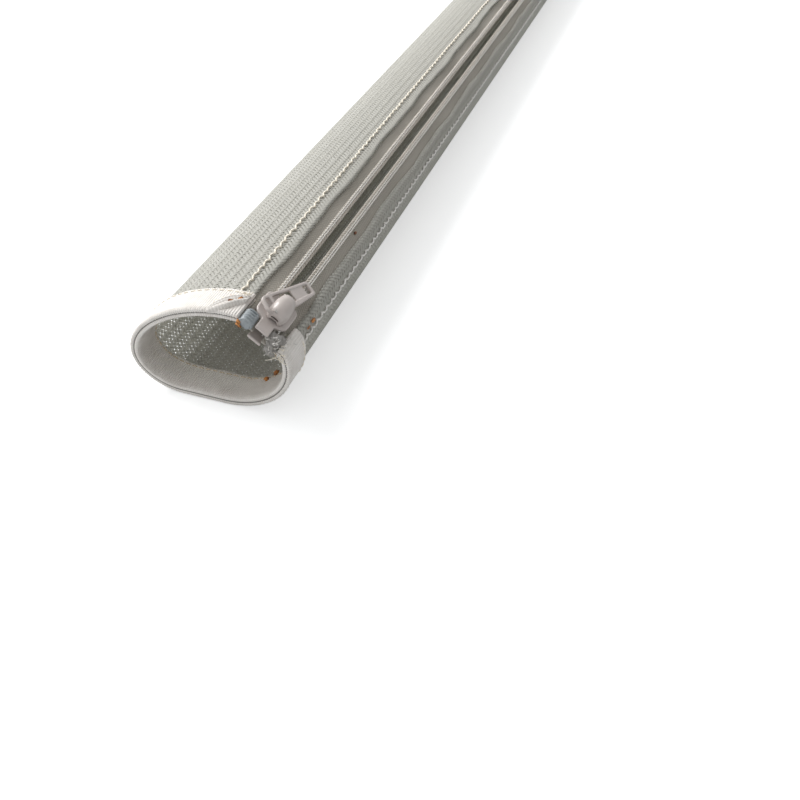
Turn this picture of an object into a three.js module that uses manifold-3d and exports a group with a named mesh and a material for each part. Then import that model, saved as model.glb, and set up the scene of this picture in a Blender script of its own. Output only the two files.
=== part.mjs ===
// Zippered cable sleeve: a woven mesh wall bent into a C, its two edges sewn to the tapes of a coil zip,
// bound at both mouths with folded webbing, and closed by a locking slider with a pull tab.
// Units are millimetres. +Y runs from the front mouth to the rear mouth, +Z is up.
import * as THREE from 'three';
import { mergeVertices } from 'three/addons/utils/BufferGeometryUtils.js';
import Module from 'manifold-3d';

const wasm = await Module();
wasm.setup();

// Sleeve
const sleeveLength = 500;          // rim to rim
const sectionWidth = 54;           // across the middle of the wall, as the sleeve lies
const leftBulgeHeight = 11.5;      // height of the widest point on the left
const rightBulgeHeight = 19;       // height of the widest point on the right
const floorFlatStart = 15;         // the flattened underside, from the left bulge
const floorFlatWidth = 15;
const crownReach = 17.3;           // how far the top runs level from the zip before it falls
const crownRise = 2;
const wallThickness = 1.2;
const weaveRise = 0.75;            // how far the crossing yarns stand out
const weaveColumns = 26;           // yarn bundles around the wall
const weavePitch = 10;             // crossings along the wall
const gapShare = 0.3;              // open part of a cell that has a gap

// Binding at each mouth
const bindingDepth = 12;
const flapThickness = 0.9;
const bindingClearance = 0.15;
const rimThickness = 1.6;

// Zip
const zipAcross = 45.2;            // middle of the zip, from the left bulge
const zipUp = 28.8;                // middle of the zip, above the middle of the wall's underside
const zipTilt = THREE.MathUtils.degToRad(38);
const coilGap = 2.8;               // between the two open rows
const coilWidth = 2.6;
const coilHeight = 2;
const coilPitch = 3;
const tapeShown = 3.7;             // tape between the coil and the mesh edge
const tapeUnderCoil = 2.1;
const tapeUnderMesh = 5;
const tapeThickness = 0.7;
const tapeOverhang = 2.5;          // tape ends that stick out of the front mouth
const tapeTrim = 1.4;              // the tape is cut back this far from the mesh edge inside a binding
const tapeClearance = 0.2;
const coilClearance = 0.1;
const meltedEnd = 3;               // the flat-melted end of each row

// Slider
const sliderLength = 16;
const sliderWidth = 11.4;
const sliderTailWidth = 4.8;
const sliderNoseWidth = 6.6;
const sliderSetback = 0.4;         // slider tail behind the front rim
const plateThickness = 1.2;
const plateBevel = 0.25;
const runClearance = 0.35;         // between the slider and what it runs on
const flangeThickness = 1.2;
const flangeLength = 6.5;
const postWidth = 1.9;
const postLength = 4;
const lockSlotWidth = 1.5;
const lockSlotLength = 1.5;
const lockAcross = -0.4;
const lockAlong = 2.1;             // where the lock pin goes down between the rows

// Cap and lock spring
const capLength = 12.6;
const capWidth = 4.8;
const capHeight = 4.9;
const capWall = 0.8;
const capSeat = 0.1;
const capRound = 2;                // how far down the dome's shoulders are round
const tongueWidth = 2.2;
const tongueWall = 1.2;
const cheekOpening = 3.5;          // open height beside the tongue, where the pull comes out
const springWidth = 1;
const springThickness = 0.3;

// Pull tab
const pullWidth = 6.8;
const pullThickness = 1.2;
const railWidth = 1.1;
const crossbarWidth = 1.2;
const loopLength = 5;
const loopEndWidth = 3.4;
const bridgeWindow = 5.6;
const panelLength = 6.4;
const panelRecess = 0.35;
const endSlot = 2.2;
const endBar = 1.2;
const pullYaw = THREE.MathUtils.degToRad(20);
const pullDip = THREE.MathUtils.degToRad(8);
const pivotAcross = -2.2;
const pivotAlong = 1.6;
const pivotAbovePlate = 2.1;

const wallHalf = wallThickness / 2;
const floorLift = wallHalf + bindingClearance + flapThickness;
const zipHalf = coilGap / 2 + coilWidth + tapeShown;
const meshOverTape = tapeThickness / 2 + tapeClearance + wallHalf;
const coilBase = tapeThickness / 2 + coilClearance;

const material = (color, roughness, metalness = 0) =>
  new THREE.MeshStandardMaterial({ color, roughness, metalness });

const meshCloth = material(0xd8d6d0, 0.75);
const webbing = material(0xe9e5df, 0.8);
const tapeCloth = material(0xb0a79d, 0.85);
const nylon = material(0xc9c2b8, 0.45);
const paintedZinc = material(0xb5aca6, 0.35, 0.2);
const springSteel = material(0x9a9894, 0.3, 1);

const sleeve = new THREE.Group();

// Volume inside a closed body; it is negative where the triangles face inwards.
function signedVolume(vertices, triangles) {
  let sum = 0;
  for (let k = 0; k < triangles.length; k += 3) {
    const [a, b, c] = [vertices[triangles[k]], vertices[triangles[k + 1]], vertices[triangles[k + 2]]];
    sum += a.dot(new THREE.Vector3().crossVectors(b, c)) / 6;
  }
  return sum;
}

// Every body is closed: the triangles share their corners, and are turned to face outwards.
function meshFrom(name, vertices, triangles, look) {
  if (signedVolume(vertices, triangles) < 0) triangles.reverse();
  const geometry = new THREE.BufferGeometry();
  geometry.setAttribute('position', new THREE.Float32BufferAttribute(vertices.flatMap((v) => [v.x, v.y, v.z]), 3));
  geometry.setIndex(triangles);
  geometry.computeVertexNormals();
  const mesh = new THREE.Mesh(geometry, look);
  mesh.name = name;
  return mesh;
}

function solidOf(geometry) {
  const bare = geometry.clone();
  bare.deleteAttribute('normal');
  bare.deleteAttribute('uv');
  const merged = mergeVertices(bare, 1e-4);
  return new wasm.Manifold(new wasm.Mesh({
    numProp: 3,
    vertProperties: new Float32Array(merged.attributes.position.array),
    triVerts: new Uint32Array(merged.index.array),
  }));
}

function geometryOf(solid) {
  const data = solid.getMesh();
  const geometry = new THREE.BufferGeometry();
  geometry.setAttribute('position', new THREE.BufferAttribute(data.vertProperties, 3));
  geometry.setIndex(new THREE.BufferAttribute(data.triVerts, 1));
  geometry.computeVertexNormals();
  return geometry;
}

// The section of the wall, in the plane across the sleeve: x from the left bulge, y is height.
// It starts at the left mesh edge, goes over the top, down the left, along the floor and up the right.
function zipPoint(across, above) {
  return new THREE.Vector2(
    zipAcross + across * Math.cos(zipTilt) + above * Math.sin(zipTilt),
    zipUp - across * Math.sin(zipTilt) + above * Math.cos(zipTilt),
  );
}

const leftEdge = zipPoint(-zipHalf, meshOverTape);
const rightEdge = zipPoint(zipHalf, meshOverTape);
const roundness = 0.55;            // share of a bulge's height or reach that its curve leans on
const rightTuck = zipPoint(zipHalf + 2, meshOverTape);

const section = new THREE.Path();
section.moveTo(leftEdge.x, leftEdge.y);
section.bezierCurveTo(
  leftEdge.x - crownReach, leftEdge.y + crownRise,
  0, leftBulgeHeight + roundness * (leftEdge.y - leftBulgeHeight),
  0, leftBulgeHeight,
);
section.bezierCurveTo(0, leftBulgeHeight * (1 - roundness), floorFlatStart * (1 - roundness), 0, floorFlatStart, 0);
section.lineTo(floorFlatStart + floorFlatWidth, 0);
section.bezierCurveTo(
  floorFlatStart + floorFlatWidth + roundness * (sectionWidth - floorFlatStart - floorFlatWidth), 0,
  sectionWidth, rightBulgeHeight * (1 - roundness),
  sectionWidth, rightBulgeHeight,
);
section.bezierCurveTo(sectionWidth, rightBulgeHeight + 2.5, rightTuck.x, rightTuck.y, rightEdge.x, rightEdge.y);
const sectionLength = section.getLength();

// Everything sewn to the wall follows the same flat strips, one for each yarn bundle around it.
const columnWidth = sectionLength / weaveColumns;
const strips = [];
for (let k = 0; k <= weaveColumns; k += 1) {
  const share = k / weaveColumns;
  const step = 0.002;
  const tangent = section.getPoint(Math.min(share + step, 1)).sub(section.getPoint(Math.max(share - step, 0)));
  tangent.normalize();
  strips.push({ middle: section.getPoint(share), outwards: new THREE.Vector2(tangent.y, -tangent.x) });
}

// A point on the wall, "along" mm from the left mesh edge and "out" mm outside the middle of the wall.
function wallPoint(along, out) {
  const place = THREE.MathUtils.clamp(along / columnWidth, 0, weaveColumns);
  const k = Math.min(Math.floor(place + 1e-6), weaveColumns - 1);
  const start = strips[k].middle.clone().addScaledVector(strips[k].outwards, out);
  const end = strips[k + 1].middle.clone().addScaledVector(strips[k + 1].outwards, out);
  return start.lerp(end, place - k);
}

const at = (point, y) => new THREE.Vector3(point.x, y, point.y + floorLift);

// Lofts rings of equal count into one body and closes its two ends with the ring's own outline.
function loft(name, rings, look) {
  const count = rings[0].length;
  const vertices = rings.flat();
  const triangles = [];
  for (let r = 0; r + 1 < rings.length; r += 1) {
    for (let k = 0; k < count; k += 1) {
      const next = (k + 1) % count;
      const [a, b, c, d] = [r * count + k, r * count + next, (r + 1) * count + next, (r + 1) * count + k];
      triangles.push(a, b, c, a, c, d);
    }
  }
  return { name, vertices, triangles, count, look, last: (rings.length - 1) * count };
}

function closeLoft(body, outline) {
  const caps = THREE.ShapeUtils.triangulateShape(outline, []);
  const turn = THREE.ShapeUtils.isClockWise(outline) ? -1 : 1;
  for (const [a, b, c] of caps) {
    const order = turn > 0 ? [a, b, c] : [a, c, b];
    body.triangles.push(order[0], order[2], order[1]);
    body.triangles.push(body.last + order[0], body.last + order[1], body.last + order[2]);
  }
  return meshFrom(body.name, body.vertices, body.triangles, body.look);
}

// Mesh wall: bundles cross in a diamond lattice, and a share of its cells is open.
function meshWall() {
  const weaveStart = bindingDepth + 1;
  const rows = Math.round((sleeveLength - 2 * weaveStart) / weavePitch);
  const rim = rimThickness + 2 * bindingClearance;
  const rowPlaces = [rim];
  for (let j = 0; j <= rows; j += 1) rowPlaces.push(weaveStart + j * (sleeveLength - 2 * weaveStart) / rows);
  rowPlaces.push(sleeveLength - rim);
  const lastRow = rowPlaces.length - 1;

  const vertices = [];
  const triangles = [];
  const index = { outer: [], inner: [] };
  for (let i = 0; i <= weaveColumns; i += 1) {
    for (const side of ['outer', 'inner']) index[side].push([]);
    for (let j = 0; j <= lastRow; j += 1) {
      const inWeave = j > 1 && j < lastRow - 1 && i > 0 && i < weaveColumns;
      const rise = inWeave && (i + j) % 2 === 0 ? weaveRise : 0;
      const along = i * columnWidth;
      index.outer[i].push(vertices.push(at(wallPoint(along, wallHalf + rise), rowPlaces[j])) - 1);
      index.inner[i].push(vertices.push(at(wallPoint(along, rise / 2 - wallHalf), rowPlaces[j])) - 1);
    }
  }
  const quad = (a, b, c, d, ridge = true) => {
    if (ridge) triangles.push(a, b, c, a, c, d);
    else triangles.push(a, b, d, b, c, d);
  };
  const cell = (side, i, j) => {
    const grid = index[side];
    return [grid[i][j], grid[i][j + 1], grid[i + 1][j + 1], grid[i + 1][j]];
  };
  const inset = (corners) => {
    const middle = new THREE.Vector3();
    corners.forEach((k) => middle.addScaledVector(vertices[k], 0.25));
    return corners.map((k) => vertices.push(middle.clone().lerp(vertices[k], gapShare)) - 1);
  };
  const hasGap = (i, j) => i > 0 && i < weaveColumns - 1 && j > 1 && j < lastRow - 2 && (3 * i + j) % 10 === 0;
  for (let i = 0; i < weaveColumns; i += 1) {
    for (let j = 0; j < lastRow; j += 1) {
      const outer = cell('outer', i, j);
      const inner = cell('inner', i, j);
      const ridge = (i + j) % 2 === 0;
      if (!hasGap(i, j)) {
        quad(...outer, ridge);
        quad(inner[3], inner[2], inner[1], inner[0], !ridge);
        continue;
      }
      const outerHole = inset(outer);
      const innerHole = inset(inner);
      for (let k = 0; k < 4; k += 1) {
        const n = (k + 1) % 4;
        quad(outer[k], outer[n], outerHole[n], outerHole[k]);
        quad(inner[n], inner[k], innerHole[k], innerHole[n]);
        quad(outerHole[k], outerHole[n], innerHole[n], innerHole[k]);
      }
    }
  }
  for (let j = 0; j < lastRow; j += 1) {
    const [o, n] = [index.outer, index.inner];
    quad(o[0][j + 1], o[0][j], n[0][j], n[0][j + 1]);
    quad(o[weaveColumns][j], o[weaveColumns][j + 1], n[weaveColumns][j + 1], n[weaveColumns][j]);
  }
  for (let i = 0; i < weaveColumns; i += 1) {
    const [o, n] = [index.outer, index.inner];
    quad(o[i][0], o[i + 1][0], n[i + 1][0], n[i][0]);
    quad(o[i + 1][lastRow], o[i][lastRow], n[i][lastRow], n[i + 1][lastRow]);
  }
  return meshFrom('mesh_sleeve', vertices, triangles, meshCloth);
}

// Binding: webbing folded over the rim, with a doubled cord along the fold.
function binding(name, rimAt, inward) {
  const slot = wallHalf + bindingClearance;
  const face = slot + flapThickness;
  const profile = [
    [face, bindingDepth], [face, 0.7], [0.65 * face, 0], [0.2 * face, 0.1], [0, 0.45],
    [-0.2 * face, 0.1], [-0.65 * face, 0], [-face, 0.7], [-face, bindingDepth],
    [-slot, bindingDepth], [-slot, rimThickness], [slot, rimThickness], [slot, bindingDepth],
  ].map(([out, deep]) => new THREE.Vector2(out, inward * deep));
  const rings = [];
  for (let k = 0; k <= weaveColumns; k += 1) {
    rings.push(profile.map((p) => at(wallPoint(k * columnWidth, p.x), rimAt + p.y)));
  }
  return closeLoft(loft(name, rings, webbing), profile);
}

// Zip tape: flat beside the coil, then bent in under the mesh, which is sewn down on it.
function tape(name, side, frontEnd) {
  const under = -(wallHalf + tapeClearance + tapeThickness / 2);
  const half = tapeThickness / 2;
  const inside = bindingDepth + 2 * bindingClearance;
  const stations = [];
  const flat = (across, from) => stations.push({
    low: zipPoint(side * across, -half), high: zipPoint(side * across, half),
    from, to: sleeveLength + (from > 0 ? -inside : -1),
  });
  flat(coilGap / 2 + coilWidth - tapeUnderCoil, frontEnd);
  flat(zipHalf - tapeTrim - 0.4, frontEnd);
  flat(zipHalf - tapeTrim, inside);
  for (const reach of [0.9, tapeUnderMesh]) {
    const along = side < 0 ? reach : sectionLength - reach;
    stations.push({
      low: wallPoint(along, under - half), high: wallPoint(along, under + half),
      from: inside, to: sleeveLength - inside,
    });
  }
  const rings = stations.map((s) => [at(s.low, s.from), at(s.high, s.from), at(s.high, s.to), at(s.low, s.to)]);
  const outline = [[0, 0], [0, 1], [1, 1], [1, 0]].map(([x, y]) => new THREE.Vector2(x, y));
  return closeLoft(loft(name, rings, tapeCloth), outline);
}

// The zip's own frame: x across the zip, y along it, z out of it, with its middle on the gap.
const zip = new THREE.Group();
zip.position.set(zipAcross, 0, zipUp + floorLift);
zip.rotation.y = zipTilt;
sleeve.add(zip);

const alongZip = new THREE.Matrix4().makeBasis(
  new THREE.Vector3(0, 1, 0), new THREE.Vector3(0, 0, 1), new THREE.Vector3(1, 0, 0),
);

// Extrudes a side view, drawn as (along the zip, above the tape), across the zip.
function acrossZip(points, from, width, bevel = 0) {
  const shape = points instanceof THREE.Shape ? points : new THREE.Shape(points.map(([y, z]) => new THREE.Vector2(y, z)));
  const geometry = new THREE.ExtrudeGeometry(shape, {
    depth: width - 2 * bevel, bevelEnabled: bevel > 0, bevelSize: bevel, bevelOffset: -bevel,
    bevelThickness: bevel, bevelSegments: 2, curveSegments: 8,
  });
  geometry.translate(0, 0, from + bevel);
  return geometry.applyMatrix4(alongZip);
}

// Extrudes a front view, drawn as (across the zip, above the tape), along the zip.
function alongSlider(shape, from, length) {
  const geometry = new THREE.ExtrudeGeometry(shape, { depth: length, bevelEnabled: false, curveSegments: 4 });
  const turned = new THREE.Matrix4().makeBasis(
    new THREE.Vector3(1, 0, 0), new THREE.Vector3(0, 0, 1), new THREE.Vector3(0, -1, 0),
  );
  return geometry.applyMatrix4(turned).translate(0, from + length, 0);
}

// Coil row: one ridge for each turn, ending in a melted block at the front.
function coilRow(name, side) {
  const start = -1;
  const end = sleeveLength - 3;
  const turns = Math.floor((end - start - meltedEnd) / coilPitch);
  const groove = coilBase + 0.5 * coilHeight;
  const crest = coilBase + coilHeight;
  const melted = coilBase + 0.8 * coilHeight;
  const points = [[start, coilBase], [start + meltedEnd, coilBase]];
  const firstTurn = end - turns * coilPitch;
  points.push([end, coilBase], [end, groove]);
  for (let k = turns - 1; k >= 0; k -= 1) {
    points.push([firstTurn + (k + 0.5) * coilPitch, crest], [firstTurn + k * coilPitch, groove]);
  }
  points.push([start + meltedEnd, melted], [start, melted]);
  const inner = side < 0 ? -coilGap / 2 - coilWidth : coilGap / 2;
  const mesh = new THREE.Mesh(acrossZip(points, inner, coilWidth), nylon);
  mesh.name = name;
  return mesh;
}

// Slider frame: x across, y along with 0 at the slider's middle, z above the middle of the tape.
const slider = new THREE.Group();
slider.position.y = sliderLength / 2 + sliderSetback;
zip.add(slider);

const plateUnder = coilBase + coilHeight + runClearance;
const plateTop = plateUnder + plateThickness;
const soleTop = -(tapeThickness / 2 + 2 * runClearance);
const laneEdge = coilGap / 2 + coilWidth + runClearance;

function plateShape() {
  const half = sliderLength / 2;
  const shoulder = sliderWidth / 2;
  const shape = new THREE.Shape();
  shape.moveTo(-sliderTailWidth / 2, -half);
  shape.lineTo(sliderTailWidth / 2, -half);
  shape.lineTo(sliderTailWidth / 2, -0.45 * half);
  shape.quadraticCurveTo(shoulder, -0.35 * half, shoulder, 0);
  shape.lineTo(shoulder, flangeLength - 1);
  shape.quadraticCurveTo(shoulder, half, sliderNoseWidth / 2, half);
  shape.lineTo(-sliderNoseWidth / 2, half);
  shape.quadraticCurveTo(-shoulder, half, -shoulder, flangeLength - 1);
  shape.lineTo(-shoulder, 0);
  shape.quadraticCurveTo(-shoulder, -0.35 * half, -sliderTailWidth / 2, -0.45 * half);
  return shape;
}

function plate(from) {
  const geometry = new THREE.ExtrudeGeometry(plateShape(), {
    depth: plateThickness - 2 * plateBevel, bevelEnabled: true, bevelSize: plateBevel,
    bevelOffset: -plateBevel, bevelThickness: plateBevel, bevelSegments: 1, curveSegments: 4,
  });
  return solidOf(geometry.translate(0, 0, from + plateBevel));
}

function block(width, length, low, high, x, y) {
  const geometry = new THREE.BoxGeometry(width, length, high - low);
  return solidOf(geometry.translate(x, y, (low + high) / 2));
}

function sliderBody() {
  const sink = 0.4;
  const half = sliderLength / 2;
  const wedge = new THREE.Shape();
  wedge.moveTo(0, half - 0.8 - postLength);
  wedge.quadraticCurveTo(postWidth / 2, half - 0.8 - postLength / 2, postWidth / 2, half - 1.4);
  wedge.quadraticCurveTo(0, half - 0.2, -postWidth / 2, half - 1.4);
  wedge.quadraticCurveTo(-postWidth / 2, half - 0.8 - postLength / 2, 0, half - 0.8 - postLength);
  const post = new THREE.ExtrudeGeometry(wedge, {
    depth: plateUnder - soleTop + 2 * sink, bevelEnabled: false, curveSegments: 4,
  });
  let body = plate(plateUnder).add(plate(soleTop - plateThickness));
  body = body.add(solidOf(post.translate(0, 0, soleTop - sink)));
  const flangeMiddle = flangeLength / 2 - 0.8;
  const tapeSlot = tapeThickness / 2 + runClearance;
  for (const side of [-1, 1]) {
    const x = side * (laneEdge + flangeThickness / 2);
    body = body.add(block(flangeThickness, flangeLength - 1.6, tapeSlot + 0.1, plateUnder + sink, x, flangeMiddle));
    body = body.add(block(flangeThickness, flangeLength - 1.6, soleTop - sink, -tapeSlot + 0.1, x, flangeMiddle));
  }
  body = body.subtract(block(
    lockSlotWidth, lockSlotLength, plateUnder - 1, plateTop + 1, lockAcross, lockAlong,
  ));
  const mesh = new THREE.Mesh(geometryOf(body), paintedZinc);
  mesh.name = 'slider_body';
  return mesh;
}

const capRear = -0.5 * capLength - 0.2;
const capFront = capRear + capLength;

// Cap: a pressed dome with round shoulders that bridges the pull, with a narrow tongue at the front.
function cap() {
  const base = plateTop + capSeat;
  const crown = base + capHeight;
  const roof = crown - capWall;
  const crest = capRear + 0.5 * capLength;
  const side = new THREE.Shape();
  side.moveTo(capRear, base);
  side.bezierCurveTo(capRear + 0.3, crown - 0.9, capRear + 1.6, crown, crest, crown);
  side.bezierCurveTo(capFront - 2.4, crown, capFront, crown - 1, capFront, base + 2);
  side.lineTo(capFront - 0.3, base);

  const tunnel = new THREE.Shape();
  tunnel.moveTo(capRear + tongueWall, base - 1);
  tunnel.lineTo(capRear + tongueWall, base);
  tunnel.bezierCurveTo(capRear + tongueWall + 0.3, roof - 0.8, capRear + tongueWall + 1.1, roof, crest, roof);
  tunnel.bezierCurveTo(capFront - 3, roof, capFront - tongueWall, roof - 0.6, capFront - tongueWall, base + 2);
  tunnel.lineTo(capFront - tongueWall, base - 1);

  const half = capWidth / 2;
  const front = new THREE.Shape();
  front.moveTo(-half, base - 0.5);
  front.lineTo(half, base - 0.5);
  front.lineTo(half, crown - capRound);
  front.bezierCurveTo(half, crown - 0.3 * capRound, half - 0.5 * capRound, crown, 0, crown + 0.05);
  front.bezierCurveTo(0.5 * capRound - half, crown, -half, crown - 0.3 * capRound, -half, crown - capRound);

  let body = solidOf(acrossZip(side, -half - 1, capWidth + 2));
  body = body.intersect(solidOf(alongSlider(front, capRear - 1, capLength + 2)));
  body = body.subtract(solidOf(acrossZip(tunnel, -half - 2, capWidth + 4)));
  const cheek = (capWidth - tongueWidth) / 2;
  for (const turn of [-1, 1]) {
    body = body.subtract(block(cheek + 1, 3.6, base - 1, base + cheekOpening, turn * (half - cheek / 2 + 0.5), capFront - 0.6));
  }
  const mesh = new THREE.Mesh(geometryOf(body), paintedZinc);
  mesh.name = 'slider_cap';
  return mesh;
}

// Lock spring: a leaf under the dome whose pin drops through the plate between the rows.
function lockSpring() {
  const roof = plateTop + capSeat + capHeight - capWall - capSeat;
  const t = springThickness;
  const rear = capRear + tongueWall + 3;
  const points = [
    [lockAlong - t / 2, coilBase + 0.4 * coilHeight], [lockAlong + t / 2, coilBase + 0.4 * coilHeight],
    [lockAlong + t / 2, roof - 0.5], [lockAlong - 0.4, roof], [rear, roof - 0.2], [rear, roof - 0.2 - t],
    [lockAlong - 0.7, roof - t], [lockAlong - t / 2, roof - t - 0.6],
  ];
  const mesh = new THREE.Mesh(acrossZip(points, lockAcross - springWidth / 2, springWidth), springSteel);
  mesh.name = 'lock_spring';
  return mesh;
}

// Pull tab: loop, crossbar, bridge window, recessed panel and end slot, drawn with +Y along the tab.
function pullTab() {
  const w = pullWidth / 2;
  const inner = w - railWidth;
  const windowStart = crossbarWidth / 2;
  const panelStart = windowStart + bridgeWindow;
  const slotStart = panelStart + panelLength;
  const tip = slotStart + endSlot + endBar;
  const outline = new THREE.Shape();
  outline.moveTo(-loopEndWidth / 2, -loopLength);
  outline.lineTo(loopEndWidth / 2, -loopLength);
  outline.quadraticCurveTo(w, -loopLength, w, -0.3 * loopLength);
  outline.lineTo(w, tip - 1);
  outline.quadraticCurveTo(w, tip, w - 1, tip);
  outline.lineTo(1 - w, tip);
  outline.quadraticCurveTo(-w, tip, -w, tip - 1);
  outline.lineTo(-w, -0.3 * loopLength);
  outline.quadraticCurveTo(-w, -loopLength, -loopEndWidth / 2, -loopLength);
  const hole = (points) => outline.holes.push(new THREE.Path(points.map(([x, y]) => new THREE.Vector2(x, y))));
  const loopInner = loopEndWidth / 2 - 0.4;
  hole([[-inner, -windowStart], [inner, -windowStart], [inner, -0.35 * loopLength],
    [loopInner, railWidth - loopLength], [-loopInner, railWidth - loopLength], [-inner, -0.35 * loopLength]]);
  hole([[-inner, windowStart], [inner, windowStart], [inner, panelStart], [-inner, panelStart]]);
  hole([[-inner, slotStart], [inner, slotStart], [inner * 0.8, slotStart + endSlot], [-inner * 0.8, slotStart + endSlot]]);
  const edge = 0.2;
  const geometry = new THREE.ExtrudeGeometry(outline, {
    depth: pullThickness - 2 * edge, bevelEnabled: true, bevelSize: edge, bevelOffset: -edge,
    bevelThickness: edge, bevelSegments: 1, curveSegments: 3,
  });
  let body = solidOf(geometry.translate(0, 0, edge - pullThickness / 2));
  for (const face of [-1, 1]) {
    const from = face < 0 ? -pullThickness : pullThickness / 2 - panelRecess;
    body = body.subtract(block(
      2 * inner - 0.6, panelLength - 0.8, from, from + pullThickness / 2 + panelRecess, 0, panelStart + panelLength / 2,
    ));
  }
  const mesh = new THREE.Mesh(geometryOf(body), paintedZinc);
  mesh.name = 'pull_tab';
  return mesh;
}

sleeve.add(meshWall());
sleeve.add(binding('front_binding', 0, 1));
sleeve.add(binding('rear_binding', sleeveLength, -1));
sleeve.add(tape('tape_left', -1, 0));
sleeve.add(tape('tape_right', 1, -tapeOverhang));
zip.add(coilRow('coil_left', -1));
zip.add(coilRow('coil_right', 1));
slider.add(sliderBody());
slider.add(cap());
slider.add(lockSpring());

const pull = new THREE.Group();
pull.position.set(pivotAcross, pivotAlong, plateTop + pivotAbovePlate);
pull.rotation.order = 'ZXY';
pull.rotation.z = -pullYaw;
pull.rotation.x = -pullDip;
pull.add(pullTab());
slider.add(pull);

// The sleeve stands centred over its origin, with its underside on z = 0.
sleeve.updateMatrixWorld(true);
const extent = new THREE.Box3().setFromObject(sleeve, true);
const middle = extent.getCenter(new THREE.Vector3());
sleeve.position.set(-middle.x, -middle.y, -extent.min.z);

export default sleeve;
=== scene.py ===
import math
import random

import bmesh
import bpy
import numpy as np
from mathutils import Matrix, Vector, noise


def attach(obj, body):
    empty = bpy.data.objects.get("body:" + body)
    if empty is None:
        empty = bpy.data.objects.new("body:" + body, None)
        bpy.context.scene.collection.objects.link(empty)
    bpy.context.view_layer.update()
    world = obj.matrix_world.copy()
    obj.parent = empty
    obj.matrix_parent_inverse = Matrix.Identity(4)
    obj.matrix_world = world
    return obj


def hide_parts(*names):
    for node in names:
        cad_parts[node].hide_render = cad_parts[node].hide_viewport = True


# Zippered cable sleeve: braided mesh bent into a C, closed by a coil zip, bound at both mouths.
# Lengths are in mm until a mesh is made; +Y runs from the front mouth to the rear one.

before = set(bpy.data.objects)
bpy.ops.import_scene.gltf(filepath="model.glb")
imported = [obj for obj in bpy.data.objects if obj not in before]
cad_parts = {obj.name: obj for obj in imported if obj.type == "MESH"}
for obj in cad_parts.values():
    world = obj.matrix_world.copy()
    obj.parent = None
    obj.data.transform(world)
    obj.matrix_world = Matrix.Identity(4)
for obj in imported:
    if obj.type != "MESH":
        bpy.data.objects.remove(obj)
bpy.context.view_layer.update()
scene = bpy.context.scene
dice = random.Random(7)
print("stage 1: frame loaded,", len(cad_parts), "nodes")

sleeve = {
    "length": 500,
    "width": 54,
    "leftBulge": 11.5,      # height of the widest point on the left
    "rightBulge": 19,
    "flatStart": 15,
    "flatWidth": 15,
    "crownReach": 17.3,
    "crownRise": 2,
    "roundness": 0.55,
    "zipAcross": 45.2,
    "zipUp": 28.8,
    "zipTilt": math.radians(38),
    "zipHalf": 7.7,         # from the middle of the zip to a mesh edge
    "meshOverTape": 1.15,
    "tuckReach": 2,         # how the right side comes up to the zip
    "tuckRise": 2.5,
    "shift": -27.015,       # from the left bulge to the frame's origin
    "lift": 1.65,           # from the floor to the middle of the wall
    "frontRim": -248.75,
}


# meshes

def sweep(paths, ups, widths, heights, sides=6):
    # tubes along paths (tubes, points, 3); ups point out of the flat side
    paths = np.asarray(paths, float)
    count, steps = paths.shape[:2]
    tangents = np.gradient(paths, axis=1)
    tangents /= np.linalg.norm(tangents, axis=2, keepdims=True) + 1e-12
    across = np.cross(tangents, np.broadcast_to(ups, paths.shape))
    across /= np.linalg.norm(across, axis=2, keepdims=True) + 1e-12
    over = np.cross(across, tangents)
    widths = np.broadcast_to(widths, (count, steps))[:, :, None, None] / 2
    heights = np.broadcast_to(heights, (count, steps))[:, :, None, None] / 2
    angle = np.arange(sides) * 2 * math.pi / sides
    ring = (widths * np.cos(angle)[:, None] * across[:, :, None]
            + heights * np.sin(angle)[:, None] * over[:, :, None])
    points = (paths[:, :, None] + ring).reshape(-1, 3)

    k = np.arange(sides)
    first = (np.arange(count)[:, None, None] * steps + np.arange(steps - 1)[None, :, None]) * sides
    n = (k + 1) % sides
    quads = np.stack([first + k, first + n, first + sides + n, first + sides + k], axis=-1)
    starts = np.arange(count)[:, None] * steps * sides
    caps = np.concatenate([starts + k[::-1], starts + (steps - 1) * sides + k])

    lengths = np.linalg.norm(np.diff(paths, axis=1), axis=2)
    along = np.concatenate([np.zeros((count, 1)), np.cumsum(lengths, axis=1)], axis=1)
    around = float(np.mean(widths)) * 4
    low, high = along[:, :-1, None] + 0 * k, along[:, 1:, None] + 0 * k
    left, right = 0 * low + k * around / sides, 0 * low + (k + 1) * around / sides
    uv = np.stack([left, low, right, low, right, high, left, high], axis=-1).reshape(-1, 2)
    return points, [quads.reshape(-1, 4), caps], np.concatenate([uv, np.zeros((caps.size, 2))])


def grid(points, closedAcross=False, uv=None):
    # quads over points (rows, columns, 3); uv (rows, columns, 2) in mm
    rows, columns = points.shape[:2]
    k = np.arange(columns if closedAcross else columns - 1)
    n = (k + 1) % columns
    r = np.arange(rows - 1)[:, None] * columns
    quads = np.stack([r + k, r + n, r + columns + n, r + columns + k], axis=-1).reshape(-1, 4)
    flat = np.zeros((rows * columns, 2)) if uv is None else uv.reshape(-1, 2)
    faces, loops = [quads], [flat[quads.reshape(-1)]]
    if closedAcross:
        caps = np.array([k[::-1], (rows - 1) * columns + k])
        faces.append(caps)
        loops.append(np.zeros((caps.size, 2)))
    return points.reshape(-1, 3), faces, np.concatenate(loops)


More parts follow.
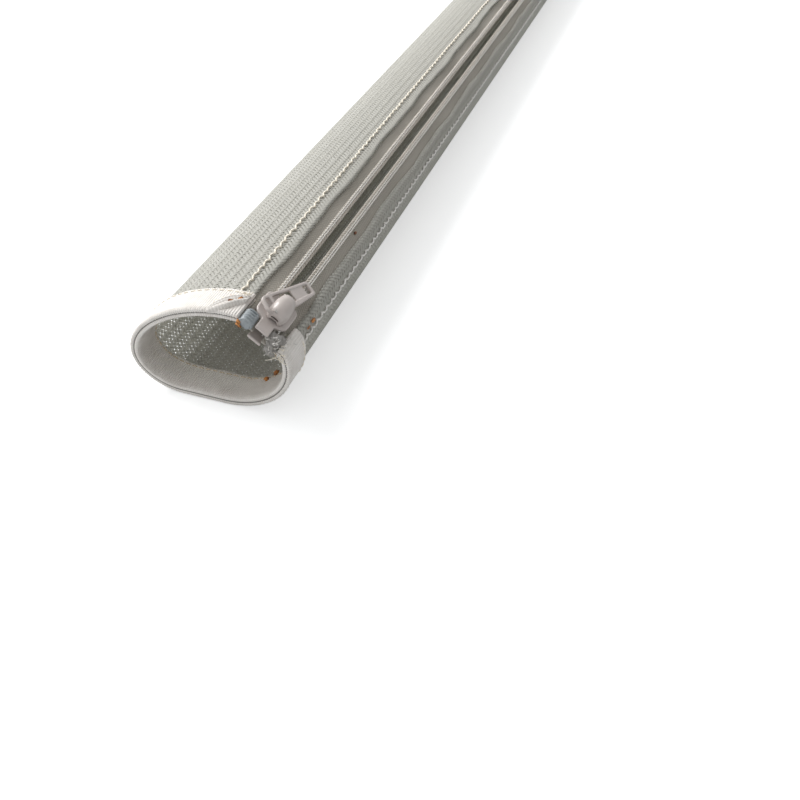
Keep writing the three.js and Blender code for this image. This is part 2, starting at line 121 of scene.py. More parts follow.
def makePiece(name, parts, material, body, replaces=()):
    points, faces, loops, start = [], [], [], 0
    for partPoints, partFaces, partUv in parts:
        points.append(partPoints)
        for group in partFaces:
            faces.extend((group + start).tolist())
        loops.append(partUv)
        start += len(partPoints)
    mesh = bpy.data.meshes.new(name)
    mesh.from_pydata((np.concatenate(points) * 0.001).tolist(), [], faces)
    layer = mesh.uv_layers.new(name="millimetres")
    layer.data.foreach_set("uv", np.concatenate(loops).astype(np.float32).ravel())
    mesh.polygons.foreach_set("use_smooth", [True] * len(mesh.polygons))
    mesh.materials.append(material)
    piece = bpy.data.objects.new(name, mesh)
    scene.collection.objects.link(piece)
    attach(piece, body)
    if replaces:
        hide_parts(*replaces)
    return piece


# the wall's section, from the left mesh edge over the top and under to the right mesh edge

def zipPoint(across, above):
    tilt = sleeve["zipTilt"]
    x = sleeve["zipAcross"] + across * math.cos(tilt) + above * math.sin(tilt)
    z = sleeve["zipUp"] - across * math.sin(tilt) + above * math.cos(tilt)
    return np.stack([x + sleeve["shift"] + 0 * z, z + sleeve["lift"]], axis=-1)


def bezier(a, b, c, d):
    t = np.linspace(0, 1, 300)[:, None]
    a, b, c, d = (np.asarray(p, float) for p in (a, b, c, d))
    return (1 - t) ** 3 * a + 3 * (1 - t) ** 2 * t * b + 3 * (1 - t) * t ** 2 * c + t ** 3 * d


def sectionLine():
    s, origin = sleeve, np.array([sleeve["shift"], sleeve["lift"]])
    left = zipPoint(-s["zipHalf"], s["meshOverTape"]) - origin
    right = zipPoint(s["zipHalf"], s["meshOverTape"]) - origin
    tuck = zipPoint(s["zipHalf"] + s["tuckReach"], s["meshOverTape"]) - origin
    bulge, lean = s["leftBulge"], s["roundness"]
    flatEnd = s["flatStart"] + s["flatWidth"]
    line = np.concatenate([
        bezier(left, (left[0] - s["crownReach"], left[1] + s["crownRise"]),
               (0, bulge + lean * (left[1] - bulge)), (0, bulge)),
        bezier((0, bulge), (0, bulge * (1 - lean)),
               (s["flatStart"] * (1 - lean), 0), (s["flatStart"], 0))[1:],
        bezier((flatEnd, 0), (flatEnd + lean * (s["width"] - flatEnd), 0),
               (s["width"], s["rightBulge"] * (1 - lean)), (s["width"], s["rightBulge"])),
        bezier((s["width"], s["rightBulge"]), (s["width"], s["rightBulge"] + s["tuckRise"]), tuck, right)[1:],
    ]) + origin
    at = np.concatenate([[0], np.cumsum(np.linalg.norm(np.diff(line, axis=0), axis=1))])
    even = np.linspace(0, at[-1], 1200)
    line = np.stack([np.interp(even, at, line[:, 0]), np.interp(even, at, line[:, 1])], axis=-1)
    tangent = np.gradient(line, axis=0)
    tangent /= np.linalg.norm(tangent, axis=1, keepdims=True)
    return even, line, np.stack([tangent[:, 1], -tangent[:, 0]], axis=-1)


lineAt, linePoint, lineOut = sectionLine()
girth = lineAt[-1]
print("stage 2: section, girth", round(girth, 1), "mm")


def onWall(u, out, y):
    # u mm from the left mesh edge, out mm outside the middle of the wall, y mm behind the front rim
    u, out, y = np.broadcast_arrays(*(np.asarray(a, float) for a in (u, out, y)))
    at = [np.interp(u, lineAt, values) for values in (*linePoint.T, *lineOut.T)]
    return np.stack([at[0] + at[2] * out, y + sleeve["frontRim"], at[1] + at[3] * out], axis=-1)


def wallOut(u):
    u = np.asarray(u, float)
    x, z = (np.interp(u, lineAt, values) for values in lineOut.T)
    return np.stack([x, 0 * u, z], axis=-1)


def onZip(across, y, above):
    across, y, above = np.broadcast_arrays(*(np.asarray(a, float) for a in (across, y, above)))
    flat = zipPoint(across, above)
    return np.stack([flat[..., 0], y + sleeve["frontRim"], flat[..., 1]], axis=-1)


zipOut = np.array([math.sin(sleeve["zipTilt"]), 0, math.cos(sleeve["zipTilt"])])


# materials

def fromHex(text):
    parts = [int(text[k:k + 2], 16) / 255 for k in (1, 3, 5)]
    return [c / 12.92 if c <= 0.04045 else ((c + 0.055) / 1.055) ** 2.4 for c in parts] + [1]


def addNode(tree, kind, settings={}, values={}, links={}):
    made = tree.nodes.new("ShaderNode" + kind)
    for name, value in settings.items():
        setattr(made, name, value)
    for socket, value in values.items():
        made.inputs[socket].default_value = value
    for socket, source in links.items():
        tree.links.new(source, made.inputs[socket])
    return made


def waveScale(pitch):
    # a wave texture of scale 1 repeats every 1 / 3.18
    return 1 / (pitch * 3.18)


def newMaterial(name, values):
    material = bpy.data.materials.new(name)
    material.use_nodes = True
    tree = material.node_tree
    shader = tree.nodes["Principled BSDF"]
    for socket, value in values.items():
        shader.inputs[socket].default_value = value
    return material, tree, shader


# Braided polyester: bundles of stiff drawn monofilament, pale grey, with a faint gloss along each float.
braid = {
    "base": "#DAD9D2",
    "light": "#E9E8E2",
    "dark": "#C9C7BE",
    "groove": "#8F8D84",    # painted shade between filaments and along a bundle's edges
    "filament": 0.3,
    "streak": (0.5, 6),     # width and length of a streak in the yarn
    "patch": 40,
    "edge": (0.33, 0.58),   # where the painted shade along a bundle's edges begins and where it is deepest, from a bundle's middle
    "through": 0.35,
}


def braidedPolyester():
    material, tree, shader = newMaterial("braidedPolyester", {"Roughness": 0.5, "IOR": 1.57})
    uv = addNode(tree, "UVMap", {"uv_map": "millimetres"})
    place = addNode(tree, "TexCoord")
    patch = addNode(tree, "TexNoise", values={"Scale": 1000 / braid["patch"], "Detail": 3},
                    links={"Vector": place.outputs["Object"]})
    wide, long = braid["streak"]
    streaks = addNode(tree, "Mapping", values={"Scale": (1 / wide, 1 / long, 1)},
                      links={"Vector": uv.outputs["UV"]})
    yarn = addNode(tree, "TexNoise", values={"Scale": 1.0, "Detail": 2},
                   links={"Vector": streaks.outputs["Vector"]})
    tone = addNode(tree, "ValToRGB", links={"Fac": yarn.outputs["Fac"]})
    tone.color_ramp.elements[0].position, tone.color_ramp.elements[0].color = 0.3, fromHex(braid["dark"])
    tone.color_ramp.elements[1].position, tone.color_ramp.elements[1].color = 0.7, fromHex(braid["light"])
    colour = addNode(tree, "Mix", {"data_type": "RGBA"}, {"B": fromHex(braid["base"])},
                     {"Factor": patch.outputs["Fac"], "A": tone.outputs["Color"]})
    ridges = addNode(tree, "TexWave", {"bands_direction": "X", "wave_profile": "SIN"},
                     {"Scale": waveScale(braid["filament"]), "Distortion": 0.4, "Detail": 1},
                     {"Vector": uv.outputs["UV"]})
    # painted shade: darker in the troughs between filaments
    depth = addNode(tree, "MapRange", values={"From Max": 0.5, "To Min": 0.35},
                    links={"Value": ridges.outputs["Fac"]})
    side = addNode(tree, "Math", {"operation": "ABSOLUTE"}, {},
                   {0: addNode(tree, "SeparateXYZ", links={"Vector": uv.outputs["UV"]}).outputs["X"]})
    # painted shade: darker towards each bundle's edges, where it dips under its neighbours
    fadeFrom, fadeTo = braid["edge"]
    edge = addNode(tree, "MapRange",
                   values={"From Min": fadeFrom, "From Max": fadeTo, "To Min": 1.0, "To Max": 0.1},
                   links={"Value": side.outputs["Value"]})
    shade = addNode(tree, "Math", {"operation": "MULTIPLY"}, {},
                    {0: depth.outputs["Result"], 1: edge.outputs["Result"]})
    # the painted shade is mixed into the yarn colour here
    grooved = addNode(tree, "Mix", {"data_type": "RGBA"}, {"A": fromHex(braid["groove"])},
                      {"Factor": shade.outputs["Value"], "B": colour.outputs["Result"]})
    tree.links.new(grooved.outputs["Result"], shader.inputs["Base Color"])
    # thin yarn lets some light through to the inside
    through = addNode(tree, "BsdfTranslucent", links={"Color": colour.outputs["Result"]})
    blend = addNode(tree, "MixShader", values={"Fac": braid["through"]},
                    links={1: shader.outputs["BSDF"], 2: through.outputs["BSDF"]})
    tree.links.new(blend.outputs["Shader"], tree.nodes["Material Output"].inputs["Surface"])
    bump = addNode(tree, "Bump", values={"Strength": 0.5, "Distance": 0.0001},
                   links={"Height": ridges.outputs["Fac"]})
    tree.links.new(bump.outputs["Normal"], shader.inputs["Normal"])
    return material


# Polyester webbing: a dense narrow weave, off-white and matt, with ribs across it.
webbing = {"base": "#F0ECE7", "shade": "#CBC4BC", "rib": 0.8, "float": 0.45}


def wovenWebbing():
    material, tree, shader = newMaterial("wovenWebbing", {"Roughness": 0.85, "IOR": 1.5})
    uv = addNode(tree, "UVMap", {"uv_map": "millimetres"})
    rib = addNode(tree, "TexWave", {"bands_direction": "X"}, {"Scale": waveScale(webbing["rib"])},
                  {"Vector": uv.outputs["UV"]})
    floats = addNode(tree, "TexWave", {"bands_direction": "Y"},
                     {"Scale": waveScale(webbing["float"]), "Distortion": 1.2},
                     {"Vector": uv.outputs["UV"]})
    both = addNode(tree, "Math", {"operation": "MULTIPLY_ADD"}, {1: 0.6},
                   {0: floats.outputs["Fac"], 2: rib.outputs["Fac"]})
    soil = addNode(tree, "TexNoise", values={"Scale": 0.25, "Detail": 5}, links={"Vector": uv.outputs["UV"]})
    dip = addNode(tree, "Math", {"operation": "MULTIPLY_ADD", "use_clamp": True}, {1: 0.35},
                  {0: both.outputs["Value"], 2: soil.outputs["Fac"]})
    colour = addNode(tree, "Mix", {"data_type": "RGBA"},
                     {"A": fromHex(webbing["shade"]), "B": fromHex(webbing["base"])},
                     {"Factor": dip.outputs["Value"]})
    tree.links.new(colour.outputs["Result"], shader.inputs["Base Color"])
    bump = addNode(tree, "Bump", values={"Strength": 0.6, "Distance": 0.0002},
                   links={"Height": both.outputs["Value"]})
    tree.links.new(bump.outputs["Normal"], shader.inputs["Normal"])
    return material


# Polyester zip tape: fine herringbone, taupe, matt, with a little fuzz.
zipTape = {"base": "#AAA59B", "light": "#CFCAC1", "thread": 0.55, "chevron": 1.6}


def twillTape():
    material, tree, shader = newMaterial("twillTape", {"Roughness": 0.9, "IOR": 1.5, "Sheen Weight": 0.15})
    uv = addNode(tree, "UVMap", {"uv_map": "millimetres"})
    fold = addNode(tree, "SeparateXYZ", links={"Vector": uv.outputs["UV"]})
    swing = addNode(tree, "Math", {"operation": "PINGPONG"}, {1: zipTape["chevron"]}, {0: fold.outputs["X"]})
    chevron = addNode(tree, "CombineXYZ", links={"X": swing.outputs["Value"], "Y": fold.outputs["Y"]})
    twill = addNode(tree, "TexWave", {"bands_direction": "DIAGONAL"}, {"Scale": waveScale(zipTape["thread"])},
                    {"Vector": chevron.outputs["Vector"]})
    grain = addNode(tree, "TexNoise", values={"Scale": 1.5, "Detail": 4}, links={"Vector": uv.outputs["UV"]})
    mixed = addNode(tree, "Math", {"operation": "MULTIPLY"}, {},
                    {0: twill.outputs["Fac"], 1: grain.outputs["Fac"]})
    colour = addNode(tree, "Mix", {"data_type": "RGBA"},
                     {"A": fromHex(zipTape["base"]), "B": fromHex(zipTape["light"])},
                     {"Factor": mixed.outputs["Value"]})
    tree.links.new(colour.outputs["Result"], shader.inputs["Base Color"])
    bump = addNode(tree, "Bump", values={"Strength": 0.5, "Distance": 0.00012},
                   links={"Height": twill.outputs["Fac"]})
    tree.links.new(bump.outputs["Normal"], shader.inputs["Normal"])
    return material


# Nylon monofilament, drawn and formed into a coil: pale beige, smooth, a soft shine.
def drawnNylon(name, base, light):
    material, tree, shader = newMaterial(name, {"Roughness": 0.38, "IOR": 1.53})
    place = addNode(tree, "TexCoord")
    patch = addNode(tree, "TexNoise", values={"Scale": 300, "Detail": 3},
                    links={"Vector": place.outputs["Object"]})
    colour = addNode(tree, "Mix", {"data_type": "RGBA"}, {"A": fromHex(base), "B": fromHex(light)},
                     {"Factor": patch.outputs["Fac"]})
    tree.links.new(colour.outputs["Result"], shader.inputs["Base Color"])
    return material


# Spun polyester sewing thread: two plies twisted, matt.
plyPitch = 0.5


def sewingThread(name, base, light):
    material, tree, shader = newMaterial(name, {"Roughness": 0.75, "IOR": 1.5})
    uv = addNode(tree, "UVMap", {"uv_map": "millimetres"})
    plies = addNode(tree, "TexWave", {"bands_direction": "DIAGONAL"}, {"Scale": waveScale(plyPitch)},
                    {"Vector": uv.outputs["UV"]})
    colour = addNode(tree, "Mix", {"data_type": "RGBA"}, {"A": fromHex(base), "B": fromHex(light)},
                     {"Factor": plies.outputs["Fac"]})
    tree.links.new(colour.outputs["Result"], shader.inputs["Base Color"])
    bump = addNode(tree, "Bump", values={"Strength": 0.5, "Distance": 0.0001},
                   links={"Height": plies.outputs["Fac"]})
    tree.links.new(bump.outputs["Normal"], shader.inputs["Normal"])
    return material


# Die-cast zinc under baked paint: warm grey, smooth, faint orange peel, a little cloudy.
zinc = {"paint": "#B0A7A2", "worn": "#C6BDB8", "peel": 0.7, "cloud": 4}


def paintedZinc():
    material, tree, shader = newMaterial("paintedZinc", {"Roughness": 0.32, "IOR": 1.5, "Coat Weight": 0.3,
                                                         "Coat Roughness": 0.15})
    place = addNode(tree, "TexCoord")
    peel = addNode(tree, "TexNoise", values={"Scale": 1000 / zinc["peel"], "Detail": 2},
                   links={"Vector": place.outputs["Object"]})
    bump = addNode(tree, "Bump", values={"Strength": 0.12, "Distance": 0.0001},
                   links={"Height": peel.outputs["Fac"]})
    tree.links.new(bump.outputs["Normal"], shader.inputs["Normal"])
    cloud = addNode(tree, "TexNoise", values={"Scale": 1000 / zinc["cloud"], "Detail": 3},
                    links={"Vector": place.outputs["Object"]})
    colour = addNode(tree, "Mix", {"data_type": "RGBA"},
                     {"A": fromHex(zinc["paint"]), "B": fromHex(zinc["worn"])},
                     {"Factor": cloud.outputs["Fac"]})
    tree.links.new(colour.outputs["Result"], shader.inputs["Base Color"])
    return material


# Spring steel strip, rolled: a plain grey metal.
def rolledSteel():
    material, tree, shader = newMaterial("rolledSteel", {"Metallic": 1, "Base Color": fromHex("#A5A3A0")})
    place = addNode(tree, "TexCoord")
    lines = addNode(tree, "TexNoise", values={"Scale": 2500, "Detail": 2},
                    links={"Vector": place.outputs["Object"]})
    rough = addNode(tree, "MapRange", values={"To Min": 0.25, "To Max": 0.4},
                    links={"Value": lines.outputs["Fac"]})
    tree.links.new(rough.outputs["Result"], shader.inputs["Roughness"])
    return material


# Polyester singed by the hot knife: melted beads, amber to brown, glossy.
def singedPolyester():
    material, tree, shader = newMaterial("singedPolyester", {"Roughness": 0.3, "IOR": 1.57})
    place = addNode(tree, "TexCoord")
    burn = addNode(tree, "TexNoise", values={"Scale": 600, "Detail": 4},
                   links={"Vector": place.outputs["Object"]})
    tone = addNode(tree, "ValToRGB", links={"Fac": burn.outputs["Fac"]})
    tone.color_ramp.elements[0].position, tone.color_ramp.elements[0].color = 0.38, fromHex("#6E3F1E")
    tone.color_ramp.elements[1].position, tone.color_ramp.elements[1].color = 0.62, fromHex("#C9853F")
    tree.links.new(tone.outputs["Color"], shader.inputs["Base Color"])
    return material


meshLook = braidedPolyester()
webbingLook = wovenWebbing()
tapeLook = twillTape()
nylonLook = drawnNylon("drawnNylon", "#BDB5AA", "#D8D2C8")
fusedLook = drawnNylon("fusedNylon", "#7F878C", "#A7ADB0")        # melted with the tape's dye: blue-grey
creamThread = sewingThread("creamThread", "#E8DFCE", "#FBF5E8")
tanThread = sewingThread("tanThread", "#BFAE95", "#DCCFB8")
greyThread = sewingThread("greyThread", "#B5B2AD", "#DAD7D2")
# seamThread: a dark grey thread used only to paint the shade in the bindings' groove between the cords
seamThread = sewingThread("seamThread", "#6F6C68", "#8D8A85")
whiteThread = sewingThread("whiteThread", "#DEDBD6", "#F2F0EC")
greyThreadCloth = sewingThread("fusedTapeThreads", "#A09D99", "#CFCCC8")
zincLook = paintedZinc()
steelLook = rolledSteel()
singeLook = singedPolyester()
print("stage 3: materials")


# mesh wall: two families of bundles cross at 45 degrees, each over two and under two,
# which gives columns of slanting floats along the sleeve; past the zip edges they turn under in a hem

mesh = {
    "spacing": 1.3,
    "bundleWidth": 1.14,
    "crown": 0.2,           # a bundle's middle stands above its edges
    "swing": 0.17,          # how far a bundle moves out and in
    "level": 0.25,          # the layer's middle, outside the middle of the wall
    "hemRadius": 0.35,
    "hemReach": 3.4,
    "start": 2.2,           # behind the rim, inside the binding
    "wander": 0.35,         # how far the hem wavers along the zip
}


def wander(y):
    return mesh["wander"] * (np.sin(y / 9.0) + 0.6 * np.sin(y / 23.0 + 1) + 0.4 * np.sin(y / 4.1 + 2))


def onMesh(u, out, y):
    # point and outward direction; past an edge of the wall the mesh turns under
    radius = mesh["hemRadius"]
    left, right = u < 0, u > girth
    past = np.where(left, -u, np.where(right, u - girth, 0))
    turn = np.clip(past / radius, 0, math.pi)
    back = np.maximum(past - math.pi * radius, 0)
    base = np.where(left, back, np.where(right, girth - back, u))
    outward = wallOut(base)
    along = np.stack([-outward[:, 2], 0 * base, outward[:, 0]], axis=-1)
    side = np.where(left, -1, 1)
    rise = mesh["level"] - radius + (radius + out) * np.cos(turn)
    reach = side * (radius + out) * np.sin(turn)
    reach = reach + wander(y) * (np.exp(-base / 5) - np.exp((base - girth) / 5))
    place = onWall(base, 0, y) + outward * rise[:, None] + along * reach[:, None]
    facing = outward * np.cos(turn)[:, None] + along * (side * np.sin(turn))[:, None]
    return place, facing


def ribbon(place, facing, width):
    # filaments of one bundle lie side by side, a little crowned
    tangent = np.gradient(place, axis=0)
    across = np.cross(tangent, facing)
    across *= 0.5 * width / np.linalg.norm(across, axis=1, keepdims=True)
    crown = facing * 0.5 * mesh["crown"]
    points = np.stack([place - across - crown, place + crown, place + across - crown], axis=1)
    along = np.concatenate([[0], np.cumsum(np.linalg.norm(np.diff(place, axis=0), axis=1))])
    uv = np.stack(np.meshgrid(np.array([-0.5, 0, 0.5]) * width, along), axis=-1)
    return grid(points, uv=uv)


def bundles(family):
    step = mesh["spacing"] / math.sqrt(2)
    low, high = -mesh["hemReach"] / step, (girth + mesh["hemReach"]) / step
    rows = (sleeve["length"] - mesh["start"]) / step
    firstRow = mesh["start"] / step
    spread = (low, high + rows) if family > 0 else (low - rows, high)
    parts = []
    for k in range(math.floor(spread[0] / 2), math.ceil(spread[1] / 2) + 1):
        crossing = np.arange(math.ceil(low), high)
        row = family * (2 * k - crossing)
        kept = (row >= firstRow) & (row <= rows)
        if kept.sum() < 3:
            continue
        crossing, row = crossing[kept], row[kept]
        slack = dice.uniform(-0.06, 0.06)
        swing = family * np.clip(1.3 * np.sin(0.5 * math.pi * (crossing + 0.5)), -1, 1)
        place, facing = onMesh(crossing * step + slack, mesh["swing"] * swing, row * step)
        parts.append(ribbon(place, facing, mesh["bundleWidth"] * dice.uniform(0.92, 1.06)))
    return parts


rising = makePiece("meshBundlesRising", bundles(1), meshLook, "sleeve", ["mesh_sleeve"])
falling = makePiece("meshBundlesFalling", bundles(-1), meshLook, "sleeve")
print("stage 4: mesh wall,", len(rising.data.polygons) + len(falling.data.polygons), "faces")


# bindings: webbing folded over each rim, its fold drawn up into two cords

bindings = {
    "depth": 12,
    "inside": 0.72,         # from the middle of the wall to the flap
    "flap": 0.75,
    "rib": 0.8,
    "ribDepth": 0.09,
    "cord": 0.62,           # radius of the cords along the fold
    "overrun": 0.4,
}


def bindingProfile():
    b = bindings
    face = b["inside"] + b["flap"]
    deep = np.linspace(b["depth"], 2.0, 20)
    points = [(face - 0.25, b["depth"] + 0.05, 0.2)]
    points += [(face - (0.2 if k == 0 else 0), d, 0.4) for k, d in enumerate(deep)]
    for centre, share in ((0.82, 1.8), (-0.62, 0.25)):      # the outer cord is serrated, the inner one smooth
        for turn in np.radians([20, 55, 90, 125, 150]):
            points.append((centre + b["cord"] * 1.15 * math.cos(turn),
                           0.75 - b["cord"] * 1.1 * math.sin(turn), share))
    points += [(-face + (0.2 if k == 19 else 0), d, 1.5) for k, d in enumerate(deep[::-1])]
    points += [(0.25 - face, b["depth"] + 0.05, 0.2), (-b["inside"], b["depth"] - 0.2, 0)]
    points += [(-b["inside"], 1.9, 0), (b["inside"], 1.9, 0), (b["inside"], b["depth"] - 0.2, 0)]
    return np.array(points)


def binding(name, rimAt, inward, node):
    profile = bindingProfile()
    middle = profile[:, :2].mean(axis=0)
    count = int(girth / bindings["rib"]) * 4
    u = np.linspace(-bindings["overrun"], girth + bindings["overrun"], count)
    outline = np.concatenate([[0], np.cumsum(np.hypot(*np.diff(profile[:, :2], axis=0).T))])
    rings, uv = [], []
    for at in u:
        phase = 2 * math.pi * at / bindings["rib"]
        waver = 0.12 * math.sin(at / 3.1) + 0.08 * math.sin(at / 1.3 + 2)
        floats = 1 + 0.5 * np.cos(2 * math.pi * profile[:, 1] / 1.05 + phase / 2)
        away = np.sign(profile[:, 0] - middle[0])
        swell = profile[:, 2] * bindings["ribDepth"] * math.cos(phase) * floats * away
        deep = profile[:, 1] + np.where(profile[:, 1] > 11, waver, 0)
        shrink = 1 - 0.35 * math.exp(-min(at + bindings["overrun"], girth + bindings["overrun"] - at) / 0.4)
        base = min(max(at, 0), girth)
        point = onWall(base, (profile[:, 0] + swell) * shrink, rimAt + inward * deep)
        outward = wallOut(base)
        rings.append(point + np.array([-outward[2], 0, outward[0]]) * (at - base))
        uv.append(np.stack([np.full(len(profile), at), outline], axis=-1))
    part = grid(np.array(rings), closedAcross=True, uv=np.array(uv))
    return makePiece(name, [part], webbingLook, "sleeve", [node])


frontBinding = binding("frontBinding", 0, 1, "front_binding")
rearBinding = binding("rearBinding", sleeve["length"], -1, "rear_binding")
def rimGrooveShadeLine(rimAt, inward):
    u = np.linspace(0.3, girth - 0.3, 300)
    return sweep(onWall(u, 0.1, rimAt + inward * 0.42)[None], np.array([0, 1, 0]), 0.5, 0.4, sides=6)


# a dark grey thread laid in the groove between the two cords: painted shade for that groove
makePiece("paintedRimGrooveShade", [rimGrooveShadeLine(0, 1), rimGrooveShadeLine(sleeve["length"], -1)], seamThread, "sleeve")
print("stage 5: bindings")


# zip tapes

tapes = {
    "coilGap": 2.8,
    "coilWidth": 2.6,
    "underCoil": 2.1,
    "underMesh": 5,
    "thickness": 0.55,
    "flatWidth": 11.5,
    "sag": 0.12,
    "leftStart": 1.5,       # behind the front rim
    "rightStart": 0.5,
}


def tapeStations(side):
    # middle line across the tape, from under the coil to under the mesh
    inner = tapes["coilGap"] / 2 + tapes["coilWidth"] - tapes["underCoil"]
    flat = zipPoint(side * np.linspace(inner, sleeve["zipHalf"] - 1.2, 7), 0)
    reach = np.linspace(1.2, tapes["underMesh"], 5)
    u = reach if side < 0 else girth - reach
    hidden = onWall(u, -1.15, 0)[:, [0, 2]]
    return np.concatenate([flat, hidden])


def tape(name, side, frontEnd, node):
    line = tapeStations(side)
    y = np.arange(frontEnd, sleeve["length"] - 1, 2.0)
    inBinding = (y < bindings["depth"] + 0.4) | (y > sleeve["length"] - bindings["depth"] - 0.4)
    across = np.concatenate([[0], np.cumsum(np.linalg.norm(np.diff(line, axis=0), axis=1))])
    rings, uv = [], []
    for at, tucked in zip(y, inBinding):
        middle = line.copy()
        if tucked:      # inside a binding the tape stops short of the webbing
            middle[7:] = middle[6] + (middle[6] - middle[5]) * np.linspace(0.02, 0.1, 5)[:, None]
        slope = np.gradient(middle, axis=0)
        slope /= np.linalg.norm(slope, axis=1, keepdims=True) + 1e-9
        out = np.stack([-slope[:, 1], slope[:, 0]], axis=-1) * (side * tapes["thickness"] / 2)
        bow = np.sin(np.linspace(0, math.pi, len(middle)))[:, None]
        sag = tapes["sag"] * math.sin(at / 7.0 + side) * bow * zipOut[[0, 2]]
        ring = np.concatenate([middle + out + sag, (middle - out + sag)[::-1]])
        rings.append(np.stack([ring[:, 0], np.full(len(ring), at + sleeve["frontRim"]), ring[:, 1]], axis=-1))
        uv.append(np.stack([np.concatenate([across, across[::-1]]), np.full(len(ring), at)], axis=-1))
    part = grid(np.array(rings), closedAcross=True, uv=np.array(uv))
    return makePiece(name, [part], tapeLook, "sleeve", [node])


leftTape = tape("leftTape", -1, tapes["leftStart"], "tape_left")
rightTape = tape("rightTape", 1, tapes["rightStart"], "tape_right")
print("stage 6: tapes")


# coils: one monofilament wound into flat turns, a filler cord inside, and the thread that holds it

coils = {
    "pitch": 1.5,
    "wire": 0.64,
    "base": 0.45,
    "height": 2.0,
    "fused": 7.5,           # length of the melted front end
    "rearStop": 3,
    "lean": 0.22,           # a turn leans this share of the pitch
    "pressed": 0.3,         # the wire is pressed wide where it locks
    "cord": (1.0, 0.75),
    "seams": (0.5, 0.78),   # where the two stitch lines run, across the row
    "seamThread": (0.3, 0.24),
}


def squared(v):
    return np.sign(v) * np.abs(v) ** 0.75


def coil(side, node):
    gap, width = tapes["coilGap"] / 2, tapes["coilWidth"]
    start, end = coils["fused"] - 1, sleeve["length"] - coils["rearStop"]
    turns = int((end - start) / coils["pitch"])
    angle = np.arange(0, turns * 10 + 1) * 2 * math.pi / 10
    halfWide, halfHigh = (width - coils["wire"]) / 2, (coils["height"] - coils["wire"]) / 2
    across = side * (gap + width / 2 - halfWide * squared(np.cos(angle)))
    above = coils["base"] + coils["height"] / 2 + halfHigh * squared(np.sin(angle))
    lean = coils["lean"] * coils["pitch"] * np.sin(angle)
    y = start + coils["pitch"] * angle / (2 * math.pi) + lean
    path = onZip(across, y, above)
    head = 1 + coils["pressed"] * np.clip(np.cos(angle), 0, 1) ** 4
    up = np.array([0, 1, 0])
    wire = sweep(path[None], up, coils["wire"], coils["wire"] * head[None], sides=6)
    yCore = np.linspace(start, end, 120)
    corePath = onZip(side * (gap + width * 0.55), yCore, coils["base"] + coils["height"] / 2)
    core = sweep(corePath[None], zipOut, *coils["cord"], sides=8)
    name = "coilLeft" if side < 0 else "coilRight"
    makePiece(name, [wire], nylonLook, "sleeve", [node])
    makePiece(name + "Cord", [core], whiteThread, "sleeve")
    stitches = []
    for offset in coils["seams"]:
        y0 = start + coils["pitch"] * np.arange(turns)[:, None] + np.linspace(0, 1, 5) * coils["pitch"] * 1.02
        rise = coils["base"] + coils["height"] + 0.02 + 0.1 * np.sin(np.linspace(0, math.pi, 5))
        seam = onZip(side * (gap + width * offset), y0, rise)
        stitches.append(sweep(seam, zipOut, *coils["seamThread"], sides=5))
    makePiece(name + "Stitches", stitches, whiteThread, "sleeve")


coil(-1, "coil_left")
coil(1, "coil_right")
print("stage 7: coils")


# slider: the cast body keeps its shape; its edges are rounded as a casting's are

slider = {"voxel": 0.16, "rounding": 5, "middle": 8.4, "plateTop": 4.0}


def roundedCasting(piece, voxel, rounding):
    skin = piece.modifiers.new("castSkin", "REMESH")
    skin.mode, skin.voxel_size, skin.use_smooth_shade = "VOXEL", voxel * 0.001, True
    smooth = piece.modifiers.new("castRounding", "SMOOTH")
    smooth.factor, smooth.iterations = 0.5, rounding


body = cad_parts["slider_body"]
roundedCasting(body, slider["voxel"], slider["rounding"])
body.data.materials.clear()
body.data.materials.append(zincLook)
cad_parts["lock_spring"].data.materials.clear()
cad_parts["lock_spring"].data.materials.append(steelLook)


# Dome: pressed over the bridge, narrow at its front foot, open on the left where the pull's bar comes out.
dome = {
    "across": 0.7,
    "front": -2.6,          # along the slider, from its middle
    "rear": 8.1,
    "height": 5.3,
    "width": 7.1,
    "frontWidth": 3.8,
    "wall": 0.75,
    "leftOpening": 3.0,     # clear height on the left
    "noseOpening": 3.1,
    "square": 2.5,          # 2 is round, more is squarer
    "noseHalf": 2.45,
    "voxel": 0.15,
    "rounding": 6,
}


def ease(value, low, high):
    return min(max((value - low) / (high - low), 0), 1)


def domeShell():
    d = dome
    rings = []
    base = slider["plateTop"] + 0.08
    for share in np.linspace(0, 1, 41):
        y = d["front"] + share * (d["rear"] - d["front"])
        arch = (1 - abs(2 * share ** 0.92 - 1) ** 2.6) ** (1 / 2.6)
        swell = math.sin(math.pi * min(share, 1) ** 0.8) ** 0.7
        half = (d["frontWidth"] + (d["width"] - d["frontWidth"]) * swell * (1 if share < 0.6 else 0.93)) / 2
        half = half if share < 0.55 else max(half, d["noseHalf"])
        top = max(d["height"] * arch, 0.5)
        left = d["leftOpening"] * ease(share, 0.22, 0.34)
        right = d["noseOpening"] * ease(share, 0.62, 0.74) * (1 - ease(share, 0.9, 0.98))
        section = []
        for inset in (0, d["wall"]):
            w, t = half - inset, max(top - inset, 0.15)
            angle = np.linspace(0, math.pi, 29)
            x = w * np.sign(np.cos(angle)) * np.abs(np.cos(angle)) ** (2 / d["square"])
            z = t * np.abs(np.sin(angle)) ** (2 / d["square"])
            opening = np.where(angle < math.pi / 2, min(right, t * 0.8), min(left, t * 0.8))
            z = np.maximum(z, opening)
            section.append(np.stack([x, z], axis=-1))
        ring = np.concatenate([section[0], section[1][::-1]])
        rings.append(onZip(ring[:, 0] + d["across"], slider["middle"] + y, base + ring[:, 1]))
    return grid(np.array(rings), closedAcross=True)


cap = makePiece("sliderDome", [domeShell()], zincLook, "slider", ["slider_cap"])
roundedCasting(cap, dome["voxel"], dome["rounding"])


